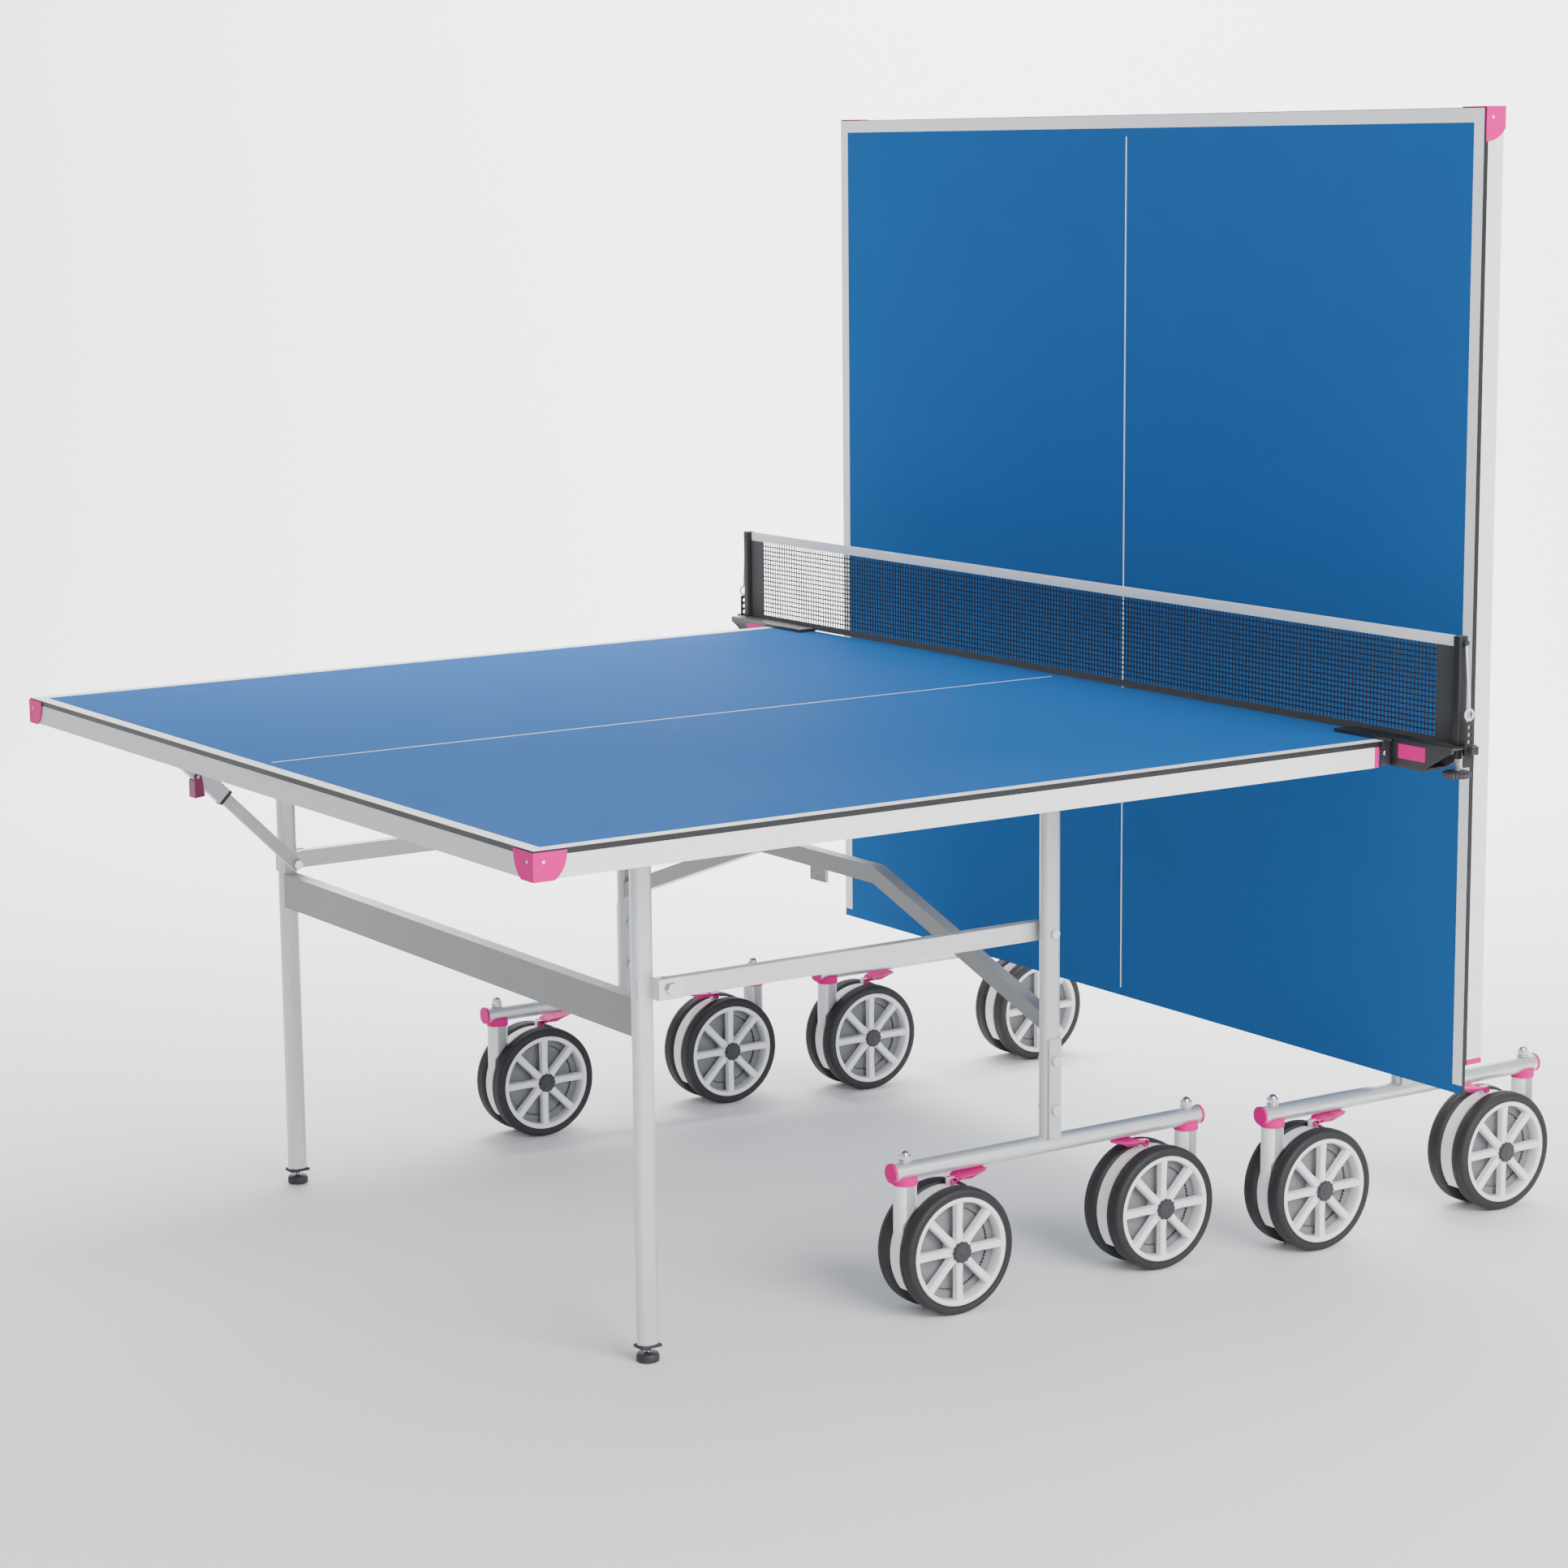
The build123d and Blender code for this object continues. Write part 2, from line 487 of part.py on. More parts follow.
def net_clamps():
    """Clamp brackets: a foot on the board, a channel out to the post and a jaw below the board."""
    solids = []
    board_edge = TABLE_WIDTH / 2
    for side in (-1, 1):
        def piece(x0, x1, inner, outer, z0, z1):
            low, high = sorted((side * inner, side * outer))
            return slab(x0, x1, low, high, z0, z1)

        def wall(x0, x1):
            line = Polyline((side * 766, 726), (side * 831, 729), (side * 872, 752), (side * CLAMP_END, 757),
                            (side * CLAMP_END, 764), (side * 766, 764), close=True)
            return Pos(x0, 0, 0) * extrude(Plane.YZ * make_face(line), amount=x1 - x0)
        channel = piece(-34, -1, 662, 768, TABLE_HEIGHT, TABLE_HEIGHT + 5)
        channel += piece(CLAMP_FACE, CLAMP_BACK, 766, CLAMP_END, TABLE_HEIGHT + 1, TABLE_HEIGHT + 5)
        channel -= piece(NET_X - 1.5, NET_X + 1.5, 760, NET_POST_Y - 9, TABLE_HEIGHT, TABLE_HEIGHT + 6)
        channel += wall(CLAMP_FACE, CLAMP_FACE + 4) + wall(CLAMP_BACK - 4, CLAMP_BACK)
        channel += piece(CLAMP_FACE, CLAMP_BACK, 766, 829, 726, 729)
        channel += pin_z(NET_X, side * SCREW_Y, 746, TABLE_HEIGHT + 1, 7)
        channel -= pin_z(NET_X, side * SCREW_Y, 740, TABLE_HEIGHT + 4, HOLE)
        channel += piece(NET_X - 2, NET_X + 2, CLAMP_END, TIP_END, 759, 763)
        channel += piece(NET_X - 6, NET_X + 6, TIP_END - 6, TIP_END, 755, 766)
        jaw = piece(-41.5, CLAMP_FACE + 9, board_edge + 0.5, 766, 727, TABLE_HEIGHT)
        jaw += piece(-32, -17, 690, board_edge + 0.5, 746, TABLE_HEIGHT - PANEL)
        solids += [channel, jaw]
    return solids


def net_cord_straps():
    """Tension cord from the hook on each post down to a ring and a strap held on the clamp's tip."""
    solids = []
    for side in (-1, 1):
        top = (NET_X, side * (NET_POST_Y + 11), NET_TOP - 12.7)
        ring = (NET_X, side * STRAP_Y, 808)
        cord = Edge.make_line(top, (NET_X, side * STRAP_Y, 815))
        solids.append(sweep(Plane(origin=top, z_dir=cord % 0) * Circle(1.5), path=cord))
        solids.append(Pos(*ring) * Rot(90, 0, 90) * Torus(7, 1.6))
        low, high = sorted((side * (STRAP_Y - 1.5), side * (STRAP_Y + 1.5)))
        strap = slab(NET_X - 6, NET_X + 6, low, high, 752, 799)
        strap += slab(NET_X - 9, NET_X + 9, low, high, 737, 752)
        for step in range(4):
            strap -= pin_y(NET_X, low - 1, high + 1, 761 + 10 * step, 3.2)
        solids.append(strap)
    return solids


def net_screw(side):
    """Clamp screw with a flat knurled knob below the bracket."""
    y = side * SCREW_Y
    rod = pin_z(NET_X, y, 729, TABLE_HEIGHT + 2, 4.5)
    knob = pin_z(NET_X, y, 720, 729, 20)
    knob = fillet(knob.edges().group_by(Axis.Z)[0], 2)
    return [rod + knob]


# ---- placing the halves ----
def about(pivot, angle):
    """Turn about the Y axis through a pivot (X, Z)."""
    return Pos(pivot[0], 0, pivot[1]) * Rot(0, angle, 0) * Pos(-pivot[0], 0, -pivot[1])


ARM = FOLD[0] - LEG_PIVOT[0]
UPRIGHT = {
    "base": Pos(0, 0, 0),
    "top": about(FOLD, 90),
    "leg": Pos(ARM, 0, ARM),
    "link": about(LINK_AT_POST, 90),
    "sleeve": Pos(FOLD[0] - STAY_AT_TOP[0], 0, FOLD[0] - STAY_AT_TOP[0]) * about(STAY_AT_TOP, 45),
    "bar": Pos(ARM, 0, ARM) * about(STAY_AT_LEG, 45),
}
HALF_PIECES = [
    ("posts", "base", posts()),
    ("tee_bases", "base", tee_bases()),
    ("base_trim", "base", base_trim()),
    ("arch_brace", "base", arch_brace()),
    ("base_fasteners", "base", base_fasteners()),
    ("top_panel", "top", top_panel()),
    ("top_frame", "top", top_frame()),
    ("corner_guards", "top", corner_guards()),
    ("leg_frame", "leg", leg_frame()),
    ("foot_near", "leg", foot(-1)),
    ("foot_far", "leg", foot(1)),
    ("link_bars", "link", link_bars()),
    ("stay_sleeve", "sleeve", stay_sleeve()),
    ("stay_bar", "bar", stay_bar()),
    ("stay_release", "sleeve", stay_release()),
]
CASTOR_PIECES = [("fork", castor_fork()), ("wheels", castor_wheels()), ("pedal", castor_pedal())]
TURN_B = Pos(B_SHIFT, 0, 0) * Rot(0, 0, 180)

nodes = {}
for half in "ab":
    turn = TURN_B if half == "b" else Pos(0, 0, 0)
    for name, group, solids in HALF_PIECES:
        place = turn * UPRIGHT[group] if half == "b" else turn
        label = name
        if half == "b" and name.startswith("foot"):
            label = "foot_near" if name == "foot_far" else "foot_far"
        nodes[f"{label}_{half}"] = [place * solid for solid in solids]
    for side in (-1, 1):
        for end in (-1, 1):
            spot = Pos(POST_X + end * KINGPIN, y_of(side, POST_Y), 0) * Rot(0, 0, 0 if end < 0 else 180)
            row = "near" if (side < 0) == (half == "a") else "far"
            place_name = f"{row}_{'outer' if end < 0 else 'inner'}_{half}"
            for name, solids in CASTOR_PIECES:
                nodes[f"castor_{name}_{place_name}"] = [turn * spot * solid for solid in solids]

nodes["net_fabric"] = net_fabric()
nodes["net_posts"] = net_posts()
nodes["net_clamps"] = net_clamps()
nodes["net_cord_straps"] = net_cord_straps()
nodes["net_screw_near"] = net_screw(-1)
nodes["net_screw_far"] = net_screw(1)

boxes = [solid.bounding_box() for solids in nodes.values() for solid in solids]
low_x = min(box.min.X for box in boxes)
high_x = max(box.max.X for box in boxes)
shift = Pos(-(low_x + high_x) / 2, 0, 0)
print("moved along X by", -(low_x + high_x) / 2, "length", high_x - low_x)
print("Y", min(box.min.Y for box in boxes), max(box.max.Y for box in boxes))
print("Z", min(box.min.Z for box in boxes), max(box.max.Z for box in boxes))

os.makedirs("parts", exist_ok=True)
for name, solids in nodes.items():
    export_step(Compound([shift * solid for solid in solids]), f"parts/{name}.step")
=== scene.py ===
import json
import math
import random

import bmesh
import bpy
from mathutils import Matrix, Vector


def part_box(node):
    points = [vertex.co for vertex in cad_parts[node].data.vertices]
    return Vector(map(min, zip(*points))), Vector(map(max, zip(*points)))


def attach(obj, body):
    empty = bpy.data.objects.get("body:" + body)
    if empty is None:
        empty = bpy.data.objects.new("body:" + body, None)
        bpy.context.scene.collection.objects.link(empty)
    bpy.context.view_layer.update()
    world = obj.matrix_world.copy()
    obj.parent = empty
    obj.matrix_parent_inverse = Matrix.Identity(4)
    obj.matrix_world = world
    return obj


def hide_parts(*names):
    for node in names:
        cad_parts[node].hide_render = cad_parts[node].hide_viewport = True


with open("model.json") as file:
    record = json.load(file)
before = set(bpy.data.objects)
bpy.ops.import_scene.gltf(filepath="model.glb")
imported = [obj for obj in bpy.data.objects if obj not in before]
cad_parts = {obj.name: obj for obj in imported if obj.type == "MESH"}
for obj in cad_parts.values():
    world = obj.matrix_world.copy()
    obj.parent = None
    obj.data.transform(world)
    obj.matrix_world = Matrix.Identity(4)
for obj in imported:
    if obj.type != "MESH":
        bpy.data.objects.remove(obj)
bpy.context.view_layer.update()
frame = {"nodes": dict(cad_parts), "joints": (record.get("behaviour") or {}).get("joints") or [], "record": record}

RECORD = frame["record"]
BODY_OF = {node: body for body, nodes in RECORD["behaviour"]["bodies"].items() for node in nodes}
SLOT_OF = {row["node"]: row["material_slot"] for row in RECORD["subparts"]}
ANCHOR = {j["name"]: Vector(j["pos_m"]) for j in frame["joints"] if "pos_m" in j}
SPOTS = [f"{row}_{end}_{half}" for half in "ab" for row in ("near", "far") for end in ("outer", "inner")]

# ---- driving dimensions, in metres, in half A's own frame: net line at X = 0, outer end at -X ----
HALF = 1.370
WIDTH = 1.525
HEIGHT = 0.760
PANEL = 0.005
LINE = 0.020
LINE_STOP = 0.013
RIM = 0.001
FACING_X = 0.7
CENTRE_LINE = 0.003
NET_PITCH = 0.0072
TWINE = 0.0021

board_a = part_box("top_panel_a")
board_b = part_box("top_panel_b")
HALF_A = Matrix.Translation((board_a[1].x, 0, 0))
HALF_B = Matrix((
    (0, 0, -1, board_b[0].x + HEIGHT),
    (0, -1, 0, 0),
    (-1, 0, 0, board_b[0].z),
    (0, 0, 0, 1)))
PLACE = {"a": HALF_A, "b": HALF_B}


# ======================= camera and light =======================
def make_camera():
    yaw, pitch, roll = math.radians(57.39), math.radians(10.04), math.radians(-0.73)
    ahead = Vector((math.cos(yaw) * math.cos(pitch), math.sin(yaw) * math.cos(pitch), -math.sin(pitch)))
    right = ahead.cross(Vector((0, 0, 1))).normalized()
    up = right.cross(ahead)
    right, up = (math.cos(roll) * right + math.sin(roll) * up, -math.sin(roll) * right + math.cos(roll) * up)
    data = bpy.data.cameras.new("photo_camera")
    data.sensor_width = 36.0
    data.lens = 84.4
    data.shift_x = 0.0425
    data.shift_y = 0.0067
    data.clip_end = 60.0
    camera = bpy.data.objects.new("photo_camera", data)
    bpy.context.scene.collection.objects.link(camera)
    stand = Vector((board_a[1].x - 3.4626, -4.4347, 1.5725))
    turn = Matrix((right, up, -ahead)).transposed().to_4x4()
    camera.matrix_world = Matrix.Translation(stand) @ turn
    bpy.context.scene.camera = camera


def make_light(name, spot, aim, size, power, colour=(1, 1, 1)):
    data = bpy.data.lights.new(name, "AREA")
    data.shape = "RECTANGLE"
    data.size, data.size_y = size
    data.energy = power
    data.color = colour
    light = bpy.data.objects.new(name, data)
    bpy.context.scene.collection.objects.link(light)
    light.location = spot
    light.rotation_euler = (Vector(aim) - Vector(spot)).to_track_quat("-Z", "Y").to_euler()


def make_studio():
    """Even pale light, stronger from the near side, over a floor that curves up into a backdrop."""
    world = bpy.data.worlds.new("studio")
    world.use_nodes = True
    background = world.node_tree.nodes["Background"]
    background.inputs["Color"].default_value = (0.96, 0.98, 1.0, 1)
    background.inputs["Strength"].default_value = 0.72
    bpy.context.scene.world = world
    make_light("key", (0.2, -5.6, 3.0), (0, 0, 0.6), (4.0, 3.0), 430)
    make_light("top", (-0.4, 0.4, 4.6), (-0.2, 0, 0.7), (4.0, 4.0), 55)
    make_light("backdrop_wash", (2.0, 1.5, 4.5), (4.5, 6.0, 0.8), (5.0, 2.0), 1100)
    flat_end, curve, steps, wide, sunk = 4.2, 2.5, 12, 14, 0.0005
    profile = [(-9.0, 0.0), (flat_end, 0.0)]
    for k in range(1, steps + 1):
        angle = math.pi / 2 * k / steps
        profile.append((flat_end + curve * math.sin(angle), curve - curve * math.cos(angle)))
    profile.append((flat_end + curve, 9.0))
    facing = math.radians(57.0)
    ahead = Vector((math.cos(facing), math.sin(facing), 0))
    right = Vector((ahead.y, -ahead.x, 0))
    build = bmesh.new()
    rings = [[ahead * d + right * side + Vector((0, 0, z - sunk)) for d, z in profile]
             for side in (-wide, wide)]
    add_faces(build, rings, 0, closed=False, ends=False)
    mesh = bpy.data.meshes.new("backdrop")
    build.to_mesh(mesh)
    build.free()
    mesh.shade_smooth()
    floor = bpy.data.objects.new("backdrop", mesh)
    bpy.context.scene.collection.objects.link(floor)
    paint = coat("floor_paint", (0.94, 0.94, 0.94), 0.7, vary=0.005, grain=40, bump=0.0, spec=0.1)
    mesh.materials.append(paint)


# ======================= materials =======================
def coat(name, colour, rough, metal=0.0, vary=0.05, grain=900.0, bump=0.15, depth=0.0002,
         wear=None, stretch=(1, 1, 1), sheen=0.0, spec=0.5):
    """Procedural finish: broad colour and gloss drift, fine grain in the bump, optional worn edges."""
    material = bpy.data.materials.new(name)
    material.use_nodes = True
    nodes, links = material.node_tree.nodes, material.node_tree.links
    shader = nodes["Principled BSDF"]
    shader.inputs["Metallic"].default_value = metal
    shader.inputs["Specular IOR Level"].default_value = spec
    shader.inputs["Sheen Weight"].default_value = sheen
    where = nodes.new("ShaderNodeTexCoord")
    scale = nodes.new("ShaderNodeMapping")
    scale.inputs["Scale"].default_value = stretch
    links.new(where.outputs["Object"], scale.inputs["Vector"])

    broad = nodes.new("ShaderNodeTexNoise")
    broad.inputs["Scale"].default_value = 7.0
    broad.inputs["Detail"].default_value = 5.0
    links.new(scale.outputs["Vector"], broad.inputs["Vector"])
    tint = nodes.new("ShaderNodeMix")
    tint.data_type = "RGBA"
    tint.inputs["A"].default_value = (*[c * (1 - vary) for c in colour], 1)
    tint.inputs["B"].default_value = (*[min(1.0, c * (1 + vary)) for c in colour], 1)
    links.new(broad.outputs["Fac"], tint.inputs["Factor"])
    shade = tint.outputs["Result"]
    if wear:
        edge = nodes.new("ShaderNodeNewGeometry")
        band = nodes.new("ShaderNodeMapRange")
        band.inputs["From Min"].default_value = 0.56
        band.inputs["From Max"].default_value = 0.68
        band.inputs["To Max"].default_value = 0.6
        links.new(edge.outputs["Pointiness"], band.inputs["Value"])
        worn = nodes.new("ShaderNodeMix")
        worn.data_type = "RGBA"
        worn.inputs["B"].default_value = (*wear, 1)
        links.new(band.outputs["Result"], worn.inputs["Factor"])
        links.new(shade, worn.inputs["A"])
        shade = worn.outputs["Result"]
    links.new(shade, shader.inputs["Base Color"])

    gloss = nodes.new("ShaderNodeMapRange")
    gloss.inputs["To Min"].default_value = max(0.03, rough - 0.07)
    gloss.inputs["To Max"].default_value = min(1.0, rough + 0.07)
    links.new(broad.outputs["Fac"], gloss.inputs["Value"])
    links.new(gloss.outputs["Result"], shader.inputs["Roughness"])

    if bump:
        fine = nodes.new("ShaderNodeTexNoise")
        fine.inputs["Scale"].default_value = grain
        fine.inputs["Detail"].default_value = 3.0
        links.new(scale.outputs["Vector"], fine.inputs["Vector"])
        relief = nodes.new("ShaderNodeBump")
        relief.inputs["Strength"].default_value = bump
        relief.inputs["Distance"].default_value = depth
        links.new(fine.outputs["Fac"], relief.inputs["Height"])
        links.new(relief.outputs["Normal"], shader.inputs["Normal"])
    return material


def woven(name, colour, rough, pitch):
    """Woven tape or webbing: two crossed wave textures in the bump."""
    material = coat(name, colour, rough, vary=0.1, bump=0.0, sheen=0.3)
    nodes, links = material.node_tree.nodes, material.node_tree.links
    shader = nodes["Principled BSDF"]
    where = nodes["Texture Coordinate"]
    waves = []
    for direction in ("Y", "Z"):
        wave = nodes.new("ShaderNodeTexWave")
        wave.bands_direction = direction
        wave.inputs["Scale"].default_value = 0.314 / pitch
        links.new(where.outputs["Object"], wave.inputs["Vector"])
        waves.append(wave)
    cross = nodes.new("ShaderNodeMath")
    cross.operation = "MULTIPLY"
    links.new(waves[0].outputs["Fac"], cross.inputs[0])
    links.new(waves[1].outputs["Fac"], cross.inputs[1])
    relief = nodes.new("ShaderNodeBump")
    relief.inputs["Strength"].default_value = 0.6
    relief.inputs["Distance"].default_value = 0.0004
    links.new(cross.outputs["Value"], relief.inputs["Height"])
    links.new(relief.outputs["Normal"], shader.inputs["Normal"])
    return material


BLUE = coat("board_blue", (0.025, 0.118, 0.350), 0.62, vary=0.04, grain=1400, bump=0.18,
            depth=0.0001, spec=0.006)
LINE_WHITE = coat("line_white", (0.93, 0.93, 0.94), 0.5, vary=0.02, grain=1400, bump=0.15,
                  depth=0.0001, spec=0.1)
EDGE_BLACK = coat("edge_black", (0.012, 0.012, 0.014), 0.45, vary=0.2, grain=800)
UNDERSIDE = coat("board_underside", (0.10, 0.12, 0.15), 0.6, vary=0.15, grain=300, bump=0.3)
APRON_WHITE = coat("apron_white", (0.90, 0.90, 0.91), 0.38, vary=0.02, grain=1200, bump=0.2)
# Grey for the end rail of the frame: painted shade on the end, which gets less light than the white side aprons.
APRON_PAINTED_SHADE = coat("end_apron_painted_shade", (0.62, 0.63, 0.65), 0.38, vary=0.03, grain=1200, bump=0.2)
FRAME_WHITE = coat("frame_white", (0.76, 0.77, 0.79), 0.36, vary=0.03, grain=1100, bump=0.25,
                   wear=(0.55, 0.56, 0.58))
POST_GREY = coat("post_grey", (0.55, 0.56, 0.58), 0.36, metal=0.40, vary=0.04, grain=1100, bump=0.25)
SILVER_PAINT = coat("silver_paint", (0.66, 0.67, 0.68), 0.34, metal=0.50, vary=0.03, grain=1100, bump=0.25)
# Dark grey painted shade for the ±X-facing faces of the arch braces and the leg crossbeams, which lie in shade
# under the table.
PAINTED_SHADE_GREY = coat("grey_painted_shade", (0.20, 0.205, 0.21), 0.36, metal=0.45, vary=0.03, grain=1100, bump=0.25)
STAY_WHITE = coat("stay_white", (0.70, 0.68, 0.65), 0.42, vary=0.03, grain=1100, bump=0.25)
TUBE_SILVER = coat("tube_silver", (0.76, 0.77, 0.78), 0.32, metal=0.70, vary=0.05, grain=700, bump=0.15,
                   stretch=(0.06, 1, 1))
CHROME = coat("bolt_chrome", (0.72, 0.73, 0.75), 0.12, metal=1.0, vary=0.04, grain=500, bump=0.05)
PINK = coat("trim_pink", (0.70, 0.0, 0.225), 0.45, vary=0.05, grain=900, bump=0.2, spec=0.12)
# Pink darkened to maroon: painted shade on the stay release, which hangs in shade under the sleeve.
PINK_PAINTED_SHADE = coat("release_pink_painted_shade", (0.26, 0.006, 0.09), 0.42, vary=0.08, grain=900, bump=0.2)
CASTOR_WHITE = coat("castor_white", (0.88, 0.88, 0.89), 0.42, vary=0.025, grain=1500, bump=0.2)
# Grey for the seen sides of the castor forks' inner webs: painted shade for the inside of the wheels.
WEB_PAINTED_SHADE = coat("castor_web_painted_shade", (0.36, 0.37, 0.39), 0.5, vary=0.05, grain=1200, bump=0.2)
# Dark grey of the toothed brake ring and the web disc behind the spokes: the ring's own dark colour, deepened with
# painted shade for the inside of the wheels.
RING_GREY_AND_SHADE = coat("brake_ring_dark_and_shade", (0.20, 0.205, 0.215), 0.5, vary=0.08, grain=1200, bump=0.3)
TYRE = coat("tyre_black", (0.016, 0.016, 0.018), 0.62, vary=0.25, grain=1100, bump=0.5, depth=0.0003)
HUB_BLACK = coat("hub_black", (0.035, 0.036, 0.04), 0.5, vary=0.2, grain=900, bump=0.3)
CLAMP_BLACK = coat("clamp_black", (0.010, 0.010, 0.012), 0.42, vary=0.2, grain=1000, bump=0.35,
                   wear=(0.16, 0.16, 0.17))
FOOT_BLACK = coat("foot_black", (0.025, 0.025, 0.028), 0.55, vary=0.2, grain=700, bump=0.4)
TWINE_BLACK = coat("twine_black", (0.009, 0.009, 0.011), 0.75, vary=0.25, grain=2500, bump=0.5)
CORD_WHITE = coat("cord_white", (0.70, 0.71, 0.72), 0.6, vary=0.08, grain=2500, bump=0.4)
BAND_BLACK = woven("band_black", (0.010, 0.010, 0.012), 0.8, 0.0008)
TAPE_WHITE = woven("tape_white", (0.80, 0.81, 0.82), 0.75, 0.0009)


# ======================= mesh helpers =======================
def piece(name, build, body, slot, finishes, replaced=(), edge=0.0006, place=None, sharp=38, segments=2):
    """Closes a bmesh into a named piece with finishes, bevelled edges and a body. The slot argument is not used.
    """
    bmesh.ops.recalc_face_normals(build, faces=build.faces)
    mesh = bpy.data.meshes.new(name)
    build.to_mesh(mesh)
    build.free()
    for finish in finishes:
        mesh.materials.append(finish)
    mesh.shade_smooth()
    mesh.set_sharp_from_angle(angle=math.radians(sharp))
    thing = bpy.data.objects.new(name, mesh)
    bpy.context.scene.collection.objects.link(thing)
    if edge:
        bevel = thing.modifiers.new("edges", "BEVEL")
        bevel.width = edge
        bevel.segments = segments
        bevel.limit_method = "ANGLE"
        bevel.angle_limit = math.radians(sharp)
        bevel.harden_normals = True
    if place is not None:
        thing.matrix_world = place
    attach(thing, body)
    if replaced:
        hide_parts(*replaced)
    return thing


def add_faces(build, rings, finish=0, closed=True, ends=True):
    """Skins a list of equal rings of points; closed joins each ring round, ends caps the first and last."""
    made = [[build.verts.new(point) for point in ring] for ring in rings]
    count = len(made[0])
    for first, second in zip(made, made[1:]):
        for k in range(count if closed else count - 1):
            after = (k + 1) % count
            face = build.faces.new((first[k], first[after], second[after], second[k]))
            face.material_index = finish
    if ends:
        for ring in (made[0], made[-1]):
            build.faces.new(ring).material_index = finish
    return made


def axes_of(axis):
    side = Vector((0, 0, 1)) if abs(axis.z) < 0.9 else Vector((1, 0, 0))
    u = axis.cross(side).normalized()
    return u, axis.cross(u).normalized()


def lathe(build, profile, origin, axis, finish=0, steps=48, loop=False):
    """Turns (radius, height) points about an axis. loop closes the section, as on a tyre."""
    axis = Vector(axis).normalized()
    u, v = axes_of(axis)
    rings = []
    for radius, height in profile:
        ring = []
        for k in range(steps):
            angle = math.tau * k / steps
            spoke = math.cos(angle) * u + math.sin(angle) * v
            ring.append(Vector(origin) + axis * height + spoke * max(radius, 1e-5))
        rings.append(ring)
    if loop:
        rings.append(rings[0])
    made = add_faces(build, rings, finish, ends=not loop)
    if loop:
        bmesh.ops.remove_doubles(build, verts=made[0] + made[-1], dist=1e-7)


def bar(build, low, high, finish=0):
    """Box between two corners."""
    (x0, y0, z0), (x1, y1, z1) = low, high
    lower = [(x0, y0, z0), (x1, y0, z0), (x1, y1, z0), (x0, y1, z0)]
    upper = [(x, y, z1) for x, y, _ in lower]
    add_faces(build, [[Vector(p) for p in lower], [Vector(p) for p in upper]], finish)


def rivet(build, origin, axis, radius, finish=0):
    """Low domed head standing along the axis."""
    rise = [(radius * math.cos(t * math.pi / 8), radius * 0.35 * math.sin(t * math.pi / 8)) for t in range(5)]
    lathe(build, rise, origin, axis, finish, 20)


def softened(node, finishes, pick=None, edge=0.0008, sharp=38):
    """A CAD node's own shape with eased edges and its finishes; pick(centre, normal) chooses among them."""
    build = bmesh.new()
    build.from_mesh(frame["nodes"][node].data)
    bmesh.ops.remove_doubles(build, verts=build.verts, dist=2e-6)
    bmesh.ops.dissolve_limit(build, angle_limit=math.radians(0.5), verts=build.verts, edges=build.edges)
    for face in build.faces:
        face.material_index = pick(face.calc_center_median(), face.normal) if pick else 0
    return piece(f"{node}_finished", build, BODY_OF[node], SLOT_OF[node], finishes, [node], edge, sharp=sharp)


# ======================= tops =======================
def make_board(half):
    """Board with its lines laid flush in the blue, a black edge band, a dark underside and a black strip under its
    edges, painted shade for the gap between board and apron.
    """
    stop = -LINE_STOP
    xs = [-HALF, -HALF + RIM, -HALF + LINE, -HALF + LINE + LINE_STOP, stop, 0]
    inner = WIDTH / 2 - LINE
    half_line = CENTRE_LINE / 2
    edge = WIDTH / 2
    ys = [-edge, -edge + RIM, -inner, -half_line, half_line, inner, edge - RIM, edge]
    build = bmesh.new()
    grid = [[build.verts.new((x, y, HEIGHT)) for y in ys] for x in xs]
    for i in range(len(xs) - 1):
        for j in range(len(ys) - 1):
            face = build.faces.new((grid[i][j], grid[i + 1][j], grid[i + 1][j + 1], grid[i][j + 1]))
            x, y = (xs[i] + xs[i + 1]) / 2, (ys[j] + ys[j + 1]) / 2
            rim = x < xs[1] or abs(y) > edge - RIM
            end_line = x < xs[2]
            side_line = abs(y) > inner and x < stop
            centre = abs(y) < half_line and x > xs[3] and x < stop
            face.material_index = 2 if rim else 1 if (end_line or side_line or centre) else 0
    top = list(build.faces)
    made = bmesh.ops.extrude_face_region(build, geom=top)
    lower = [item for item in made["geom"] if isinstance(item, bmesh.types.BMVert)]
    bmesh.ops.translate(build, verts=lower, vec=(0, 0, -PANEL))
    build.faces.ensure_lookup_table()
    for face in build.faces:
        height = face.calc_center_median().z
        if abs(height - HEIGHT + PANEL) < 1e-5:
            face.material_index = 3
        elif height < HEIGHT - 1e-5:
            face.material_index = 2
    piece(f"board_{half}", build, f"top_{half}", "board_blue", [BLUE, LINE_WHITE, EDGE_BLACK, UNDERSIDE],
          [f"top_panel_{half}"], 0.0005, PLACE[half])
    # Black strip under the board's edges: painted shade for the gap between board and apron.
    shade_strip = bmesh.new()
    inset, drop, deep, short_of_net = 0.0005, 0.0024, 0.0010, -0.042
    under, out = HEIGHT - PANEL, edge - inset
    for side in (-1, 1):
        low, high = sorted((side * out, side * (out - deep)))
        bar(shade_strip, (-HALF + inset, low, under - drop), (short_of_net, high, under))
    bar(shade_strip, (-HALF + inset, -out, under - drop), (-HALF + inset + deep, out, under))
    piece(f"board_gap_painted_shade_{half}", shade_strip, f"top_{half}", "board_blue", [EDGE_BLACK], (), 0, PLACE[half])


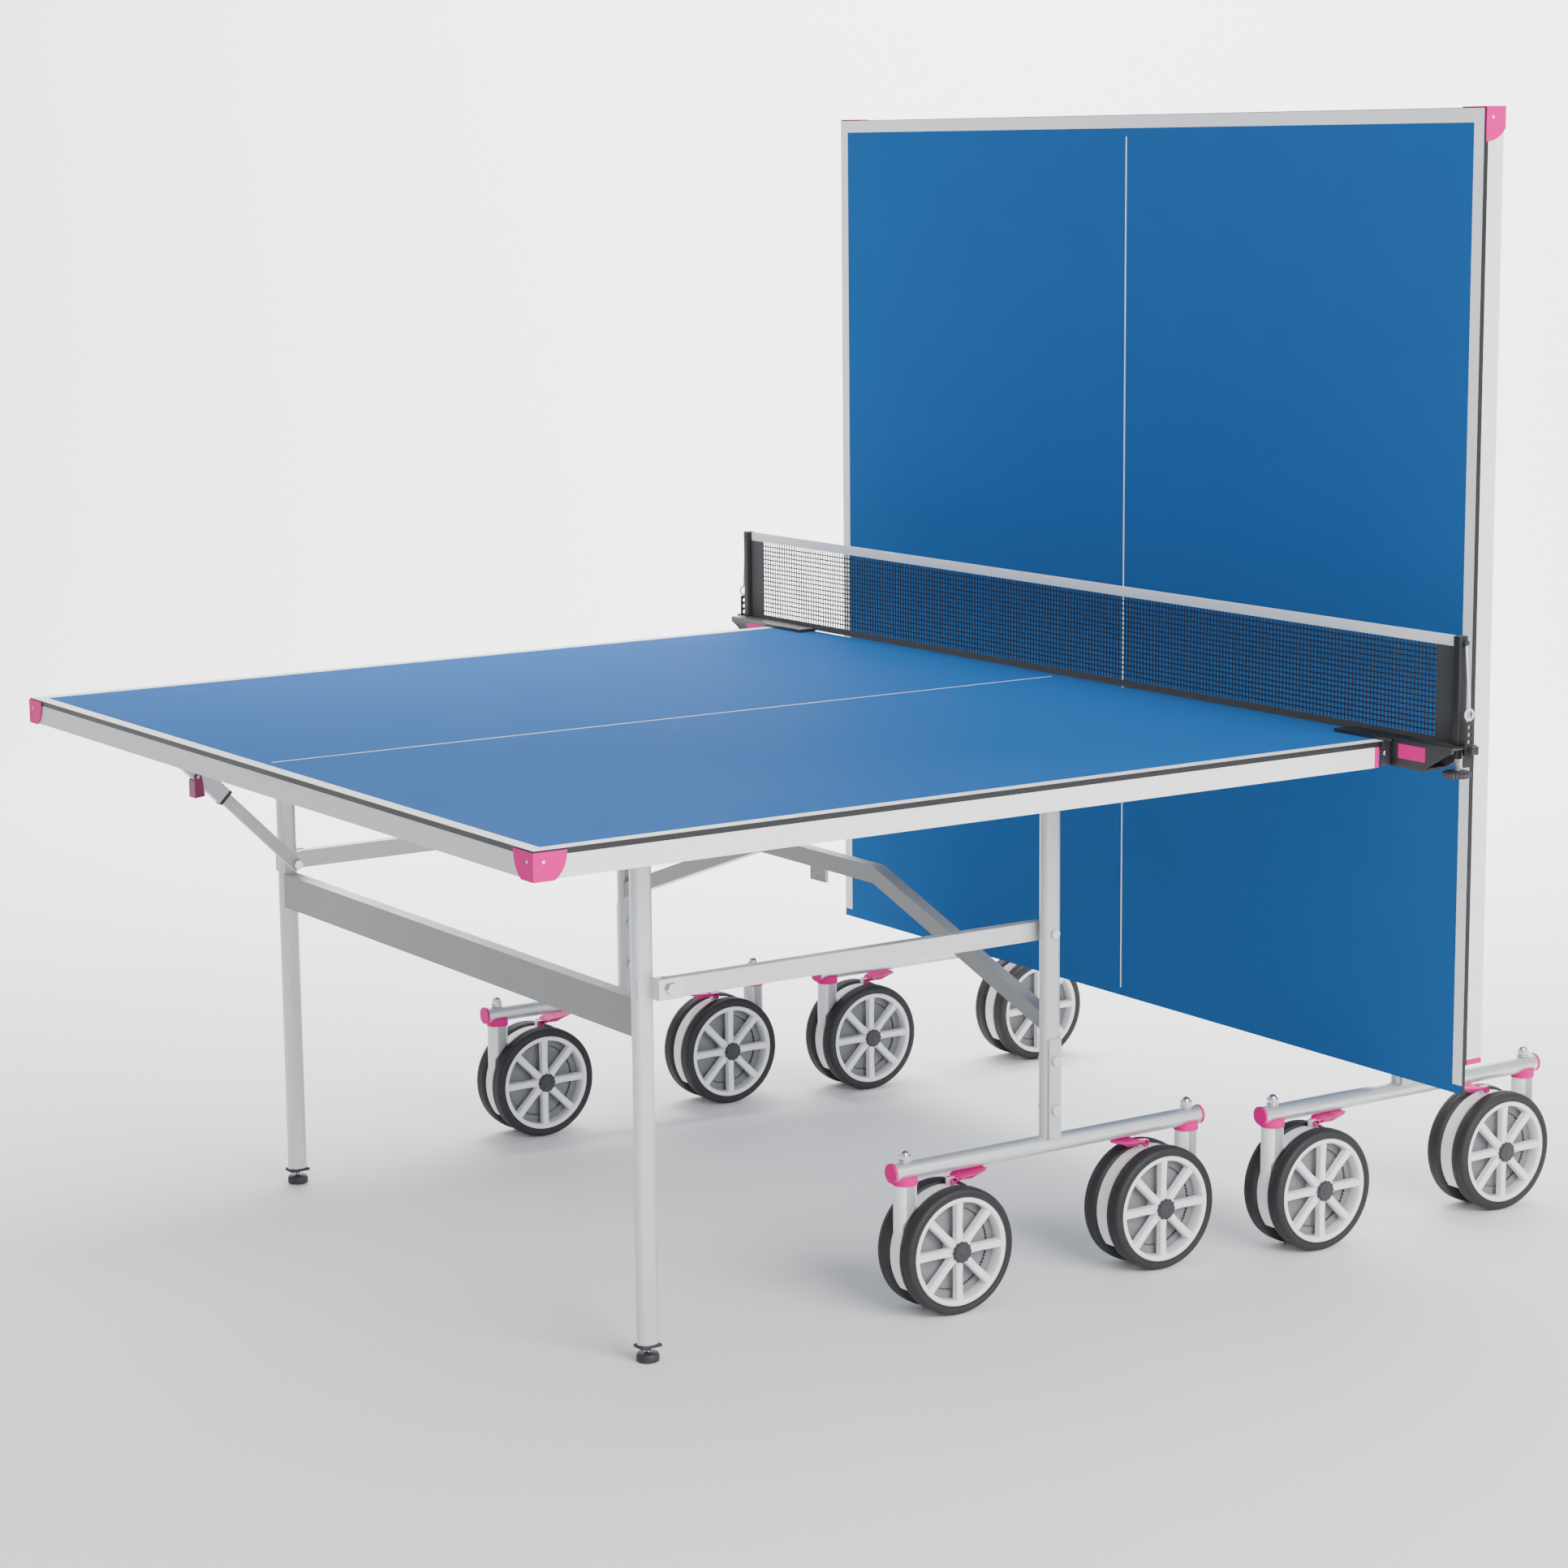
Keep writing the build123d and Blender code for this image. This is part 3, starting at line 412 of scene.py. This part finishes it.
def make_top_frame(half):
    back = PLACE[half].inverted()
    rail, apron_low = 0.021, 0.7225

    def pick(centre, normal):
        local = back @ centre
        if local.z < apron_low:
            return 2
        # The end rail gets the grey: painted shade.
        if local.x < -HALF + rail:
            return 1
        return 0
    softened(f"top_frame_{half}", [APRON_WHITE, APRON_PAINTED_SHADE, FRAME_WHITE], pick, 0.0010)


def make_guards(half):
    softened(f"corner_guards_{half}", [PINK], None, 0.0006)
    build = bmesh.new()
    inset, drop, radius, proud = 0.013, 0.012, 0.0027, 0.0009
    height = HEIGHT - 0.002 - drop
    for side in (-1, 1):
        y = side * (WIDTH / 2 + 0.0015)
        rivet(build, (-HALF + inset, y - side * 0.0006, height), (0, side, 0), radius)
        rivet(build, (-HALF - proud, side * (WIDTH / 2 - inset), height), (-1, 0, 0), radius)
    piece(f"guard_rivets_{half}", build, f"top_{half}", "frame_white", [APRON_WHITE], (), 0, PLACE[half])


# ======================= undercarriage =======================
def make_undercarriage(half):
    softened(f"posts_{half}", [POST_GREY], None, 0.0007)
    # The arch braces' ±X-facing faces get the dark grey: painted shade.
    softened(f"arch_brace_{half}", [SILVER_PAINT, PAINTED_SHADE_GREY],
             lambda centre, normal: 1 if abs(normal.x) > FACING_X else 0, 0.0030)
    softened(f"link_bars_{half}", [SILVER_PAINT], None, 0.0022)
    softened(f"base_trim_{half}", [PINK], None, 0.0010)
    softened(f"base_fasteners_{half}", [CHROME], None, 0.0004)
    tee_top = ANCHOR[f"swivel_near_outer_{half}"].z + 0.015 + 0.0135

    def pick(centre, normal):
        return 1 if centre.z > tee_top else 0
    softened(f"tee_bases_{half}", [TUBE_SILVER, POST_GREY], pick, 0.0006)


def make_legs(half):
    node = f"leg_frame_{half}"
    low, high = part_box(node)
    pivot = ANCHOR[f"leg_fold_{half}"]
    stay = ANCHOR[f"stay_leg_{half}"]
    bolt_from = high.y - 0.0050 - pivot.y
    beam_half, bolt_radius = 0.15, 0.0085

    def pick(centre, normal):
        if centre.z < low.z + 0.0012:
            return 1
        if abs(centre.y - pivot.y) > bolt_from:
            return 2
        near_stay = math.hypot(centre.x - stay.x, centre.z - stay.z) < bolt_radius
        if near_stay and 0.0060 < abs(centre.y - stay.y) < 0.0115:
            return 2
        # The crossbeam's ±X-facing faces get the dark grey: painted shade.
        return 3 if abs(centre.y - pivot.y) < beam_half and abs(normal.x) > FACING_X else 0
    softened(node, [SILVER_PAINT, FOOT_BLACK, CHROME, PAINTED_SHADE_GREY], pick, 0.0012)
    build = bmesh.new()
    for row in ("near", "far"):
        foot = ANCHOR[f"foot_turn_{row}_{half}"]
        bar(build, (pivot.x - 0.0165, foot.y - 0.0115, low.z - 0.0012),
            (pivot.x + 0.0165, foot.y + 0.0115, low.z + 0.004))
    piece(f"leg_plugs_{half}", build, f"legs_{half}", "foot_black", [FOOT_BLACK], (), 0.004,
          sharp=30, segments=4)


def make_foot(row, half):
    """Levelling foot: a pad and a threaded stem."""
    node = f"foot_{row}_{half}"
    low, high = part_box(node)
    spot = Vector(((low.x + high.x) / 2, (low.y + high.y) / 2, low.z))
    build = bmesh.new()
    pad = [(0.0135, 0), (0.0153, 0.0012), (0.0155, 0.0032), (0.0155, 0.0085), (0.0142, 0.0112),
           (0.0110, 0.0120)]
    lathe(build, pad, spot, (0, 0, 1), 0, 48)
    thread = [(0.0048 if k % 2 else 0.0041, 0.012 + 0.0008 * k) for k in range(32)]
    lathe(build, thread, spot, (0, 0, 1), 1, 24)
    piece(f"levelling_foot_{row}_{half}", build, node, "foot_black", [FOOT_BLACK, CHROME], [node], 0)


def make_stay(half):
    sleeve = f"stay_sleeve_{half}"
    hinge = ANCHOR[f"stay_top_{half}"]
    end = ANCHOR[f"stay_leg_{half}"]
    along = (end - hinge).normalized()
    mouth = 0.0945

    def pick(centre, normal):
        return 1 if (centre - hinge).dot(along) > mouth else 0
    softened(sleeve, [POST_GREY, HUB_BLACK], pick, 0.0012)
    softened(f"stay_bar_{half}", [STAY_WHITE], None, 0.0010)
    # The release is in the darkened pink: painted shade.
    softened(f"stay_release_{half}", [PINK_PAINTED_SHADE], None, 0.0014, 25)


# ======================= castors =======================
HUB = Vector((0.067, 0, 0.089))


def castor_place(spot):
    """Matrix from a castor's own frame (kingpin at the origin, wheels behind it along +X) to the model."""
    pin = ANCHOR[f"swivel_{spot}"]
    back = ANCHOR[f"spin_{spot}"].x < pin.x
    return Matrix.Translation((pin.x, pin.y, 0)) @ Matrix.Rotation(math.pi if back else 0, 4, "Z")


def star(count, valley, peak):
    """Wavy outline of a knob or cap, as (x, y) points round the origin."""
    points = []
    for k in range(count * 4):
        radius = (valley + peak) / 2 + (peak - valley) / 2 * math.cos(math.tau * k / 4)
        angle = math.tau * k / (count * 4)
        points.append((radius * math.cos(angle), radius * math.sin(angle)))
    return points


def make_wheels(spot):
    """Both wheels of a castor on one axle: tyre, rim, hub, eight spokes, toothed brake ring and cap."""
    spoke = ((0.0140, 0.0062, 0.0358), (0.0350, 0.0054, 0.0350), (0.0700, 0.0060, 0.0362))
    build = bmesh.new()
    axle = [(0.0055, -0.0385), (0.006, -0.038), (0.006, 0.038), (0.0055, 0.0385)]
    lathe(build, axle, HUB, (0, 1, 0), 4, 24)
    for side in (-1, 1):
        out = (0, side, 0)
        tyre = [(0.0755, 0.0125), (0.082, 0.0120), (0.0862, 0.0134), (0.0882, 0.0162), (0.0889, 0.0205),
                (0.0889, 0.0235), (0.0882, 0.0240), (0.0882, 0.0260), (0.0889, 0.0265), (0.0889, 0.0295),
                (0.0884, 0.0335), (0.0866, 0.0366), (0.0834, 0.0379), (0.0805, 0.0380), (0.0795, 0.0372),
                (0.0755, 0.0375)]
        lathe(build, tyre, HUB, out, 0, 96, True)
        rim = [(0.0756, 0.0132), (0.0756, 0.0368), (0.0742, 0.0376), (0.0705, 0.0376), (0.0690, 0.0365),
               (0.0684, 0.0340), (0.0688, 0.0150), (0.0700, 0.0132)]
        lathe(build, rim, HUB, out, 1, 96, True)
        hub = [(0.0065, 0.0120), (0.0150, 0.0120), (0.0158, 0.0132), (0.0165, 0.0345), (0.0150, 0.0372),
               (0.0065, 0.0376)]
        lathe(build, hub, HUB, out, 1, 48, True)
        for k in range(8):
            angle = math.tau * k / 8
            ray = Vector((math.cos(angle), 0, math.sin(angle)))
            across = Vector((-math.sin(angle), 0, math.cos(angle)))
            rings = []
            for reach, wide, front in spoke:
                centre = HUB + ray * reach
                section = [(-wide, 0.0250), (-wide * 0.9, front - 0.0018), (-wide * 0.55, front),
                           (-wide * 0.2, front - 0.0010), (wide * 0.2, front - 0.0010), (wide * 0.55, front),
                           (wide * 0.9, front - 0.0018), (wide, 0.0250)]
                rings.append([centre + across * a + Vector(out) * b for a, b in section])
            add_faces(build, rings, 1)
        teeth = 72
        inner, outer = [], []
        for k in range(teeth * 2):
            angle = math.tau * k / (teeth * 2)
            ray = Vector((math.cos(angle), 0, math.sin(angle)))
            inner.append(HUB + ray * (0.0565 if k % 2 else 0.0590))
            outer.append(HUB + ray * 0.0692)
        step = Vector(out)
        ring = [[p + step * 0.0132 for p in outer], [p + step * 0.0175 for p in outer],
                [p + step * 0.0175 for p in inner], [p + step * 0.0132 for p in inner]]
        ring.append(ring[0])
        made = add_faces(build, ring, 2, ends=False)
        bmesh.ops.remove_doubles(build, verts=made[0] + made[-1], dist=1e-7)
        # Web disc behind the spokes, in the ring grey: painted shade inside the wheel.
        web = [(0.0160, 0.0132), (0.0560, 0.0132), (0.0570, 0.0140), (0.0560, 0.0150), (0.0160, 0.0150)]
        lathe(build, web, HUB, out, 2, 64, True)
        cap = star(12, 0.0140, 0.0155)
        for inset, low, high in ((1.0, 0.0376, 0.0405), (0.86, 0.0405, 0.0415)):
            u = Vector((1, 0, 0))
            flat = [HUB + step * low + u * a * inset + Vector((0, 0, b * inset)) for a, b in cap]
            add_faces(build, [flat, [p + step * (high - low) for p in flat]], 3)
        lathe(build, [(0.0062, 0.0415), (0.0055, 0.0419)], HUB, out, 3, 24)
    piece(f"wheel_pair_{spot}", build, f"wheels_{spot}", "tyre_black",
          [TYRE, CASTOR_WHITE, RING_GREY_AND_SHADE, HUB_BLACK, CHROME], [f"castor_wheels_{spot}"], 0.0004,
          castor_place(spot), 42, 1)


def make_fork(spot):
    node = f"castor_fork_{spot}"
    pin_from, sideways = 0.18665, 0.9

    def pick(centre, normal):
        if centre.z > pin_from:
            return 1
        # The web's side faces get the grey: painted shade inside the wheels.
        return 2 if abs(normal.y) > sideways else 0
    softened(node, [CASTOR_WHITE, CHROME, WEB_PAINTED_SHADE], pick, 0.0010)


def between(table, x):
    """Straight-line reading of a short list of (x, value) points."""
    for (xa, va), (xb, vb) in zip(table, table[1:]):
        if x <= xb:
            return va + (vb - va) * max(0.0, (x - xa) / (xb - xa))
    return table[-1][1]


def make_pedal(spot):
    """Foot brake: two hinge cheeks and a dished leaf that thins towards its raised tip."""
    hinge = Vector((0.077, 0, 0.179))
    build = bmesh.new()
    for side in (-1, 1):
        lathe(build, [(0.0045, 0.0046), (0.0045, 0.0080)], hinge, (0, side, 0), 0, 24)
        lathe(build, [(0.0018, 0.0), (0.0018, 0.0084)], hinge, (0, side, 0), 1, 16)
        bar(build, hinge + Vector((-0.0020, min(side * 0.0046, side * 0.0080), 0)),
            hinge + Vector((0.0110, max(side * 0.0046, side * 0.0080), 0.0048)))
    over = [(0.0078, 0.0050), (0.016, 0.0080), (0.034, 0.0090), (0.058, 0.0108)]
    under = [(0.0078, 0.0012), (0.012, -0.0008), (0.030, -0.0018), (0.040, 0.0030), (0.058, 0.0082)]
    rings = []
    steps = 20
    for k in range(steps + 1):
        x = 0.0080 + 0.0494 * k / steps
        wide = 0.0176 * math.sqrt(max(0.004, 1 - ((x - 0.026) / 0.0320) ** 2))
        top, foot = between(over, x), between(under, x)
        thin = min(0.0016, (top - foot) / 2)
        row = []
        for m in range(9):
            s = m / 4 - 1
            row.append(hinge + Vector((x, wide * s, top - (top - foot) * 0.35 * (1 - s * s))))
        for m in range(8, -1, -1):
            s = m / 4 - 1
            row.append(hinge + Vector((x, wide * s, foot + (top - thin - foot) * s * s)))
        rings.append(row)
    add_faces(build, rings, 0)
    piece(f"brake_pedal_{spot}", build, f"pedal_{spot}", "trim_pink", [PINK, CHROME],
          [f"castor_pedal_{spot}"], 0.0003, castor_place(spot), 40)


# ======================= net =======================
def strand(build, start, end, width):
    """Straight square twine between two points in the net's plane."""
    start, end = Vector(start), Vector(end)
    run = (end - start).normalized()
    side = run.cross(Vector((1, 0, 0))).normalized() * width / 2
    thick = Vector((width / 2, 0, 0))
    rings = [[point + side, point + thick, point - side, point - thick] for point in (start, end)]
    add_faces(build, rings)


def make_net():
    random.seed(7)
    low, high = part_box("net_fabric")
    x = (low.x + high.x) / 2
    sleeve, tape, band = 0.034, 0.015, 0.0105
    y0, y1 = low.y + sleeve, high.y - sleeve
    z0, z1 = low.z + band, high.z - tape
    build = bmesh.new()
    columns = int((y1 - y0) / NET_PITCH)
    for k in range(1, columns):
        y = y0 + (y1 - y0) * k / columns + random.uniform(-0.0003, 0.0003)
        lean = random.uniform(-0.0004, 0.0004)
        strand(build, (x + 0.0002, y, z0 - 0.001), (x + 0.0002, y + lean, z1 + 0.001), TWINE)
    rows = int((z1 - z0) / NET_PITCH)
    for k in range(1, rows):
        z = z0 + (z1 - z0) * k / rows + random.uniform(-0.0002, 0.0002)
        strand(build, (x - 0.0002, y0 - 0.001, z), (x - 0.0002, y1 + 0.001, z), TWINE)
    mesh = piece("net_mesh", build, "top_a", "net_black", [TWINE_BLACK], ["net_fabric"], 0, sharp=60)

    def band_sheet(name, y_low, y_high, z_low, z_high, thick, finish, slot):
        """Folded tape: two layers of cloth with a rounded fold, gently uneven."""
        made = bmesh.new()
        rings = []
        parts = max(2, int(max(y_high - y_low, 0.05) / 0.02))
        for k in range(parts + 1):
            y = y_low + (y_high - y_low) * k / parts
            puff = thick / 2 * (1 + 0.10 * math.sin(k * 1.7) + 0.06 * math.sin(k * 0.61))
            ring = [Vector((x - puff, y, z_low)), Vector((x - puff, y, z_high - thick * 0.6)),
                    Vector((x - puff * 0.6, y, z_high)), Vector((x + puff * 0.6, y, z_high)),
                    Vector((x + puff, y, z_high - thick * 0.6)), Vector((x + puff, y, z_low))]
            rings.append(ring)
        add_faces(made, rings)
        return piece(name, made, "top_a", slot, [finish], (), 0, sharp=50)
    top = band_sheet("net_top_tape", low.y, high.y, high.z - tape, high.z - 0.0004, 0.0026,
                     TAPE_WHITE, "net_black")
    foot = band_sheet("net_lower_band", low.y + 0.001, high.y - 0.001, low.z, low.z + band, 0.0016,
                      BAND_BLACK, "net_black")
    for name, a, b in (("near", low.y, y0), ("far", y1, high.y)):
        band_sheet(f"net_sleeve_{name}", a, b, low.z + band * 0.5, high.z - tape * 0.9, 0.0022,
                                BAND_BLACK, "net_black")


def make_net_hardware():
    low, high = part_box("net_posts")
    softened("net_posts", [CLAMP_BLACK], None, 0.0012)
    softened("net_clamps", [CLAMP_BLACK], None, 0.0010)
    x = (low.x + high.x) / 2
    build = bmesh.new()
    for side in (-1, 1):
        y = side * (high.y - 0.006)
        bar(build, (x - 0.0045, min(y, y + side * 0.002), high.z - 0.0155),
            (x + 0.0045, max(y, y + side * 0.002), high.z - 0.0125))
        rivet(build, (x - 0.0370, side * (WIDTH / 2 + 0.0034), 0.7440), (0, side, 0), 0.0036, 1)
    piece("net_post_hooks", build, "top_a", "clamp_black", [CLAMP_BLACK, CHROME], (), 0.0003)
    build = bmesh.new()
    badge_y, badge_half = 0.808, 0.026
    for side in (-1, 1):
        y = side * badge_y
        bar(build, (x - 0.0286, y - badge_half, 0.7385), (x - 0.0276, y + badge_half, 0.7585))
    piece("clamp_badges", build, "top_a", "trim_pink", [PINK], (), 0.0003, sharp=30)


def make_cords():
    """Tension cord, ring and holed strap outside each net post."""
    cord_from = 0.7995

    def pick(centre, normal):
        return 1 if centre.z > cord_from else 0
    softened("net_cord_straps", [BAND_BLACK, CORD_WHITE], pick, 0.0002)


def make_screw(row):
    node = f"net_screw_{row}"
    low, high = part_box(node)
    spot = Vector(((low.x + high.x) / 2, (low.y + high.y) / 2, low.z))
    build = bmesh.new()
    ridge = 0.0009
    base = 0.0090
    count = int((high.z - low.z - base) / ridge)
    thread = [(0.0044 if k % 2 else 0.0038, base + ridge * k) for k in range(count)]
    lathe(build, thread, spot, (0, 0, 1), 0, 24)
    knob = star(24, 0.0186, 0.0199)
    for grow, z0, z1 in ((0.88, 0.0, 0.0014), (1.0, 0.0014, 0.0074), (0.84, 0.0074, base)):
        flat = [spot + Vector((a * grow, b * grow, z0)) for a, b in knob]
        add_faces(build, [flat, [p + Vector((0, 0, z1 - z0)) for p in flat]], 1)
    piece(f"clamp_screw_{row}", build, node, "bolt_chrome", [CHROME, HUB_BLACK], [node], 0.0003, sharp=50)


# ======================= build =======================
make_camera()
make_studio()
for half in "ab":
    make_board(half)
    make_top_frame(half)
    make_guards(half)
    make_undercarriage(half)
    make_legs(half)
    make_stay(half)
    for row in ("near", "far"):
        make_foot(row, half)
for spot in SPOTS:
    make_wheels(spot)
    make_fork(spot)
    make_pedal(spot)
make_net()
make_net_hardware()
make_cords()
for row in ("near", "far"):
    make_screw(row)
